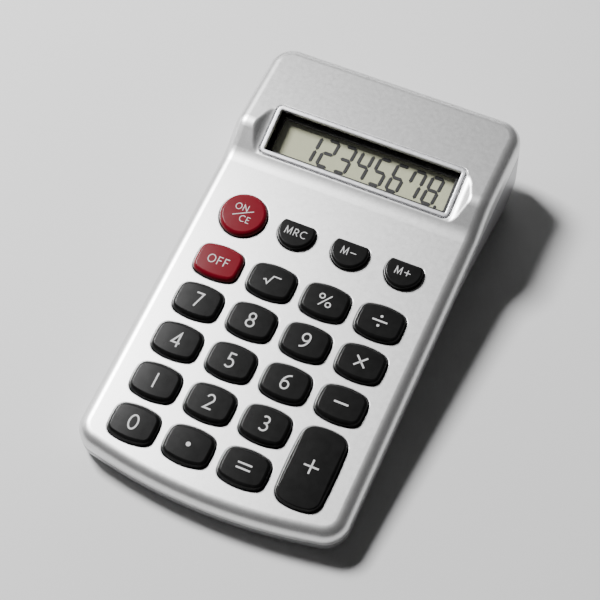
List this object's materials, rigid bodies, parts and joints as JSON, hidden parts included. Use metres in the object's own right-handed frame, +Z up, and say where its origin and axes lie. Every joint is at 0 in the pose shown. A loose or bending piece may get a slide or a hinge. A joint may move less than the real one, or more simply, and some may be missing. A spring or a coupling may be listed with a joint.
{
  "type": "desk calculator",
  "caption": "Slim silver desk calculator with a raised hood over a sunken number display, black and red keys, and a hinged battery door underneath.",
  "frame": {"origin": "desk level under the rubber feet, at the middle of the case's width and length", "axes": "+X to the user's right, +Y from the user towards the display, +Z up from the desk"},
  "size_m": [0.0668, 0.1196, 0.0236],
  "materials": {
    "bezel_silver": "satin silver paint",
    "black_shroud": "matte",
    "black_wire": "satin",
    "board": "satin",
    "carbon": "matte",
    "cell_jacket": "gloss",
    "clear_film": "clear",
    "clear_glass": "clear",
    "clear_lens": "clear",
    "epoxy": "gloss",
    "foot_rubber": "matte",
    "glue_seal": "matte",
    "key_black": "satin black",
    "key_red": "satin dark red",
    "lcd_back": "matte grey green",
    "lcd_dark": "matte",
    "mat_rubber": "matte",
    "nickel": "plated",
    "red_wire": "satin",
    "ribbon_film": "satin",
    "screw_steel": "zinc plated",
    "silver_back": "satin silver paint",
    "silver_face": "satin silver paint",
    "tan_ceramic": "satin"
  },
  "bodies": {
    "case": {"battery_cell": "cell_jacket", "battery_lead_black": "black_wire", "battery_lead_red": "red_wire", "battery_minus_plate": "nickel", "battery_plus_plate": "nickel", "battery_spring": "nickel", "board_screws": "screw_steel", "bottom_case": "silver_back", "capacitors": "tan_ceramic", "case_screws": "screw_steel", "chip_blob": "epoxy", "circuit_board": "board", "contact_pads": "carbon", "display_bezel": "bezel_silver", "display_lens": "clear_lens", "display_mask": "black_shroud", "dome_mat": "mat_rubber", "lcd_clamp": "black_shroud", "lcd_clamp_screws": "screw_steel", "lcd_digits": "lcd_dark", "lcd_front_glass": "clear_glass", "lcd_front_polariser": "clear_film", "lcd_rear_glass": "lcd_back", "lcd_reflector": "lcd_back", "lcd_ribbon": "ribbon_film", "lcd_seal": "glue_seal", "resistors": "epoxy", "rubber_feet": "foot_rubber", "top_case": "silver_face"},
    "key_0": {"key_0": "key_black"},
    "key_1": {"key_1": "key_black"},
    "key_2": {"key_2": "key_black"},
    "key_3": {"key_3": "key_black"},
    "key_4": {"key_4": "key_black"},
    "key_5": {"key_5": "key_black"},
    "key_6": {"key_6": "key_black"},
    "key_7": {"key_7": "key_black"},
    "key_8": {"key_8": "key_black"},
    "key_9": {"key_9": "key_black"},
    "key_divide": {"key_divide": "key_black"},
    "key_equals": {"key_equals": "key_black"},
    "key_m_minus": {"key_m_minus": "key_black"},
    "key_m_plus": {"key_m_plus": "key_black"},
    "key_minus": {"key_minus": "key_black"},
    "key_mrc": {"key_mrc": "key_black"},
    "key_multiply": {"key_multiply": "key_black"},
    "key_off": {"key_off": "key_red"},
    "key_on_ce": {"key_on_ce": "key_red"},
    "key_percent": {"key_percent": "key_black"},
    "key_plus": {"key_plus": "key_black"},
    "key_point": {"key_point": "key_black"},
    "key_sqrt": {"key_sqrt": "key_black"},
    "battery_door": {"battery_door": "silver_back"}
  },
  "joints": [
    {"name": "key_0_press", "type": "slide", "parent": "case", "child": "key_0", "axis": [0, 0.1115, -0.9938], "range_m": [0, 0.001], "stiffness_N_per_m": 600, "springref_m": -0.0005, "deforming": ["dome_mat"]},
    {"name": "key_1_press", "type": "slide", "parent": "case", "child": "key_1", "axis": [0, 0.1115, -0.9938], "range_m": [0, 0.001], "stiffness_N_per_m": 600, "springref_m": -0.0005, "deforming": ["dome_mat"]},
    {"name": "key_2_press", "type": "slide", "parent": "case", "child": "key_2", "axis": [0, 0.1115, -0.9938], "range_m": [0, 0.001], "stiffness_N_per_m": 600, "springref_m": -0.0005, "deforming": ["dome_mat"]},
    {"name": "key_3_press", "type": "slide", "parent": "case", "child": "key_3", "axis": [0, 0.1115, -0.9938], "range_m": [0, 0.001], "stiffness_N_per_m": 600, "springref_m": -0.0005, "deforming": ["dome_mat"]},
    {"name": "key_4_press", "type": "slide", "parent": "case", "child": "key_4", "axis": [0, 0.1115, -0.9938], "range_m": [0, 0.001], "stiffness_N_per_m": 600, "springref_m": -0.0005, "deforming": ["dome_mat"]},
    {"name": "key_5_press", "type": "slide", "parent": "case", "child": "key_5", "axis": [0, 0.1115, -0.9938], "range_m": [0, 0.001], "stiffness_N_per_m": 600, "springref_m": -0.0005, "deforming": ["dome_mat"]},
    {"name": "key_6_press", "type": "slide", "parent": "case", "child": "key_6", "axis": [0, 0.1115, -0.9938], "range_m": [0, 0.001], "stiffness_N_per_m": 600, "springref_m": -0.0005, "deforming": ["dome_mat"]},
    {"name": "key_7_press", "type": "slide", "parent": "case", "child": "key_7", "axis": [0, 0.1115, -0.9938], "range_m": [0, 0.001], "stiffness_N_per_m": 600, "springref_m": -0.0005, "deforming": ["dome_mat"]},
    {"name": "key_8_press", "type": "slide", "parent": "case", "child": "key_8", "axis": [0, 0.1115, -0.9938], "range_m": [0, 0.001], "stiffness_N_per_m": 600, "springref_m": -0.0005, "deforming": ["dome_mat"]},
    {"name": "key_9_press", "type": "slide", "parent": "case", "child": "key_9", "axis": [0, 0.1115, -0.9938], "range_m": [0, 0.001], "stiffness_N_per_m": 600, "springref_m": -0.0005, "deforming": ["dome_mat"]},
    {"name": "key_divide_press", "type": "slide", "parent": "case", "child": "key_divide", "axis": [0, 0.1115, -0.9938], "range_m": [0, 0.001], "stiffness_N_per_m": 600, "springref_m": -0.0005, "deforming": ["dome_mat"]},
    {"name": "key_equals_press", "type": "slide", "parent": "case", "child": "key_equals", "axis": [0, 0.1115, -0.9938], "range_m": [0, 0.001], "stiffness_N_per_m": 600, "springref_m": -0.0005, "deforming": ["dome_mat"]},
    {"name": "key_m_minus_press", "type": "slide", "parent": "case", "child": "key_m_minus", "axis": [0, 0.1115, -0.9938], "range_m": [0, 0.001], "stiffness_N_per_m": 600, "springref_m": -0.0005, "deforming": ["dome_mat"]},
    {"name": "key_m_plus_press", "type": "slide", "parent": "case", "child": "key_m_plus", "axis": [0, 0.1115, -0.9938], "range_m": [0, 0.001], "stiffness_N_per_m": 600, "springref_m": -0.0005, "deforming": ["dome_mat"]},
    {"name": "key_minus_press", "type": "slide", "parent": "case", "child": "key_minus", "axis": [0, 0.1115, -0.9938], "range_m": [0, 0.001], "stiffness_N_per_m": 600, "springref_m": -0.0005, "deforming": ["dome_mat"]},
    {"name": "key_mrc_press", "type": "slide", "parent": "case", "child": "key_mrc", "axis": [0, 0.1115, -0.9938], "range_m": [0, 0.001], "stiffness_N_per_m": 600, "springref_m": -0.0005, "deforming": ["dome_mat"]},
    {"name": "key_multiply_press", "type": "slide", "parent": "case", "child": "key_multiply", "axis": [0, 0.1115, -0.9938], "range_m": [0, 0.001], "stiffness_N_per_m": 600, "springref_m": -0.0005, "deforming": ["dome_mat"]},
    {"name": "key_off_press", "type": "slide", "parent": "case", "child": "key_off", "axis": [0, 0.1115, -0.9938], "range_m": [0, 0.001], "stiffness_N_per_m": 600, "springref_m": -0.0005, "deforming": ["dome_mat"]},
    {"name": "key_on_ce_press", "type": "slide", "parent": "case", "child": "key_on_ce", "axis": [0, 0.1115, -0.9938], "range_m": [0, 0.001], "stiffness_N_per_m": 600, "springref_m": -0.0005, "deforming": ["dome_mat"]},
    {"name": "key_percent_press", "type": "slide", "parent": "case", "child": "key_percent", "axis": [0, 0.1115, -0.9938], "range_m": [0, 0.001], "stiffness_N_per_m": 600, "springref_m": -0.0005, "deforming": ["dome_mat"]},
    {"name": "key_plus_press", "type": "slide", "parent": "case", "child": "key_plus", "axis": [0, 0.1115, -0.9938], "range_m": [0, 0.001], "stiffness_N_per_m": 600, "springref_m": -0.0005, "deforming": ["dome_mat"]},
    {"name": "key_point_press", "type": "slide", "parent": "case", "child": "key_point", "axis": [0, 0.1115, -0.9938], "range_m": [0, 0.001], "stiffness_N_per_m": 600, "springref_m": -0.0005, "deforming": ["dome_mat"]},
    {"name": "key_sqrt_press", "type": "slide", "parent": "case", "child": "key_sqrt", "axis": [0, 0.1115, -0.9938], "range_m": [0, 0.001], "stiffness_N_per_m": 600, "springref_m": -0.0005, "deforming": ["dome_mat"]},
    {"name": "battery_door_hinge", "type": "hinge", "parent": "case", "child": "battery_door", "pos_m": [0, 0.04143, 0.00316], "axis": [-1, 0, 0], "range_deg": [0, 70]}
  ]
}
